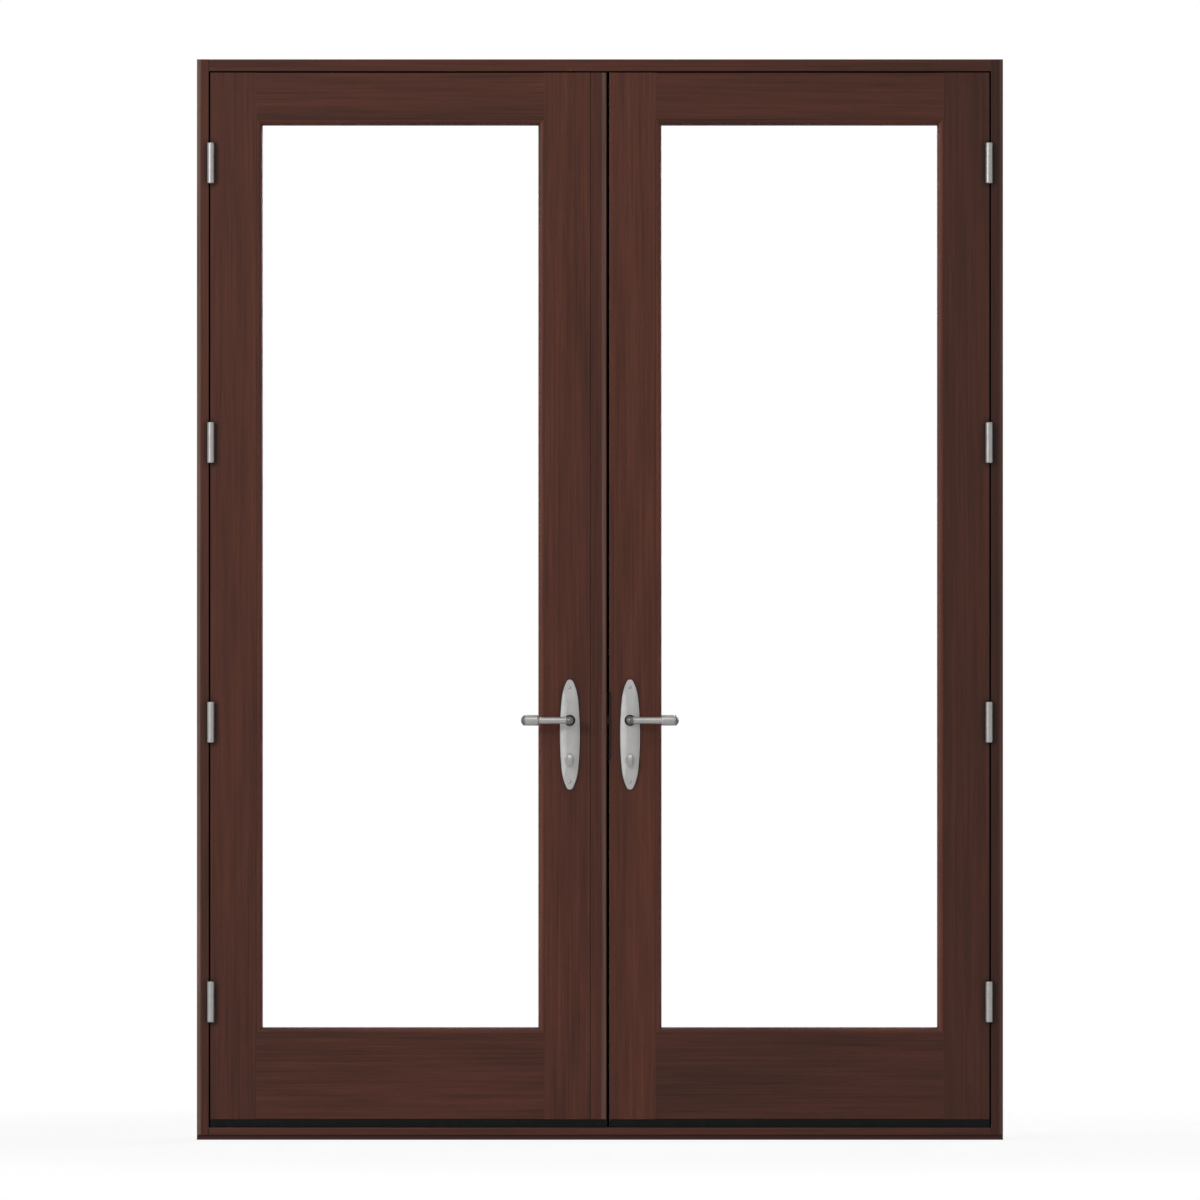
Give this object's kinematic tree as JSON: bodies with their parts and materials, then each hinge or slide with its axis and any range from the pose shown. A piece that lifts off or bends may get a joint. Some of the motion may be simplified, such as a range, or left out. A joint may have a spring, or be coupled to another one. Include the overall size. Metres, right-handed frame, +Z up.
{
  "type": "french doors",
  "caption": "Glazed double door in a stained wood frame: a passive leaf with an astragal and an active leaf, on butt hinges, with levers on oval plates, swinging into the room.",
  "frame": {"origin": "middle of the frame's width and depth, on the underside of the sill", "axes": "+X to the right as seen from the room, +Y from the room to the weather side, +Z up"},
  "size_m": [1.8098, 0.2047, 2.4257],
  "materials": {
    "stained_wood": "satin stain",
    "satin_nickel": "satin",
    "bronze_metal": "anodised",
    "black_rubber": "matt",
    "clear_glass": "clear",
    "spacer_metal": "satin",
    "plain_steel": "satin",
    "dark_steel": "oil rubbed"
  },
  "bodies": {
    "frame": {"left_jamb": "stained_wood", "right_jamb": "stained_wood", "head_jamb": "stained_wood", "threshold": "bronze_metal", "sill_nosing": "stained_wood", "frame_weatherstrip": "black_rubber", "left_frame_hinge_plates": "satin_nickel", "right_frame_hinge_plates": "satin_nickel", "hinge_pins": "satin_nickel", "frame_hinge_screws": "plain_steel", "bolt_keepers": "plain_steel"},
    "passive_door": {"passive_hinge_stile": "stained_wood", "passive_meeting_stile": "stained_wood", "passive_top_rail": "stained_wood", "passive_bottom_rail": "stained_wood", "passive_inner_pane": "clear_glass", "passive_outer_pane": "clear_glass", "passive_spacer": "spacer_metal", "passive_glazing_beads": "stained_wood", "passive_glazing_gasket": "black_rubber", "passive_sweep": "black_rubber", "passive_hinge_plates": "satin_nickel", "passive_hinge_screws": "plain_steel", "passive_room_plate": "satin_nickel", "passive_outside_plate": "satin_nickel", "passive_plate_screws": "satin_nickel", "passive_lock_case": "plain_steel", "astragal": "stained_wood", "astragal_seal": "black_rubber", "strike_plate": "bronze_metal"},
    "passive_levers": {"passive_room_lever": "satin_nickel", "passive_outside_lever": "satin_nickel", "passive_spindle": "plain_steel"},
    "passive_turn": {"passive_thumb_turn": "satin_nickel"},
    "top_shoot_bolt": {"passive_top_bolt": "plain_steel"},
    "bottom_shoot_bolt": {"passive_bottom_bolt": "plain_steel"},
    "active_door": {"active_hinge_stile": "stained_wood", "active_meeting_stile": "stained_wood", "active_top_rail": "stained_wood", "active_bottom_rail": "stained_wood", "active_inner_pane": "clear_glass", "active_outer_pane": "clear_glass", "active_spacer": "spacer_metal", "active_glazing_beads": "stained_wood", "active_glazing_gasket": "black_rubber", "active_sweep": "black_rubber", "active_hinge_plates": "satin_nickel", "active_hinge_screws": "plain_steel", "active_room_plate": "satin_nickel", "active_outside_plate": "satin_nickel", "active_plate_screws": "satin_nickel", "active_lock_case": "bronze_metal", "key_cylinder": "satin_nickel"},
    "active_levers": {"active_room_lever": "satin_nickel", "active_outside_lever": "satin_nickel", "active_spindle": "plain_steel"},
    "active_turn": {"active_thumb_turn": "satin_nickel"},
    "latch": {"latch_bolt": "dark_steel"},
    "deadbolt": {"dead_bolt": "dark_steel"}
  },
  "joints": [
    {"name": "passive_swing", "type": "hinge", "parent": "frame", "child": "passive_door", "pos_m": [-0.87348, -0.0663, 0], "axis": [0, 0, -1], "range_deg": [0, 170]},
    {"name": "active_swing", "type": "hinge", "parent": "frame", "child": "active_door", "pos_m": [0.87348, -0.0663, 0], "axis": [0, 0, 1], "range_deg": [0, 170]},
    {"name": "passive_lever_lift", "type": "hinge", "parent": "passive_door", "child": "passive_levers", "pos_m": [-0.0676, -0.058, 0.9416], "axis": [0, 1, 0], "range_deg": [0, 45]},
    {"name": "passive_turn_quarter", "type": "hinge", "parent": "passive_door", "child": "passive_turn", "pos_m": [-0.0676, -0.058, 0.8516], "axis": [0, 1, 0], "range_deg": [0, 90]},
    {"name": "top_bolt_slide", "type": "slide", "parent": "passive_door", "child": "top_shoot_bolt", "axis": [0, 0, 1], "range_m": [0, 0.02]},
    {"name": "bottom_bolt_slide", "type": "slide", "parent": "passive_door", "child": "bottom_shoot_bolt", "axis": [0, 0, -1], "range_m": [0, 0.02]},
    {"name": "active_lever_press", "type": "hinge", "parent": "active_door", "child": "active_levers", "pos_m": [0.0676, -0.058, 0.9416], "axis": [0, 1, 0], "range_deg": [0, 45], "stiffness_Nm_per_rad": 1.5, "springref_deg": -34.38},
    {"name": "active_turn_quarter", "type": "hinge", "parent": "active_door", "child": "active_turn", "pos_m": [0.0676, -0.058, 0.8516], "axis": [0, 1, 0], "range_deg": [0, 90]},
    {"name": "latch_slide", "type": "slide", "parent": "active_door", "child": "latch", "axis": [1, 0, 0], "range_m": [0, 0.012]},
    {"name": "deadbolt_slide", "type": "slide", "parent": "active_door", "child": "deadbolt", "axis": [-1, 0, 0], "range_m": [0, 0.022]}
  ],
  "couplings": [
    {"joint": "top_bolt_slide", "follows": "passive_lever_lift", "m_per_rad": 0.025464},
    {"joint": "bottom_bolt_slide", "follows": "passive_lever_lift", "m_per_rad": 0.025464},
    {"joint": "latch_slide", "follows": "active_lever_press", "m_per_rad": 0.015278},
    {"joint": "active_turn_quarter", "follows": "deadbolt_slide", "rad_per_m": 71.399}
  ]
}
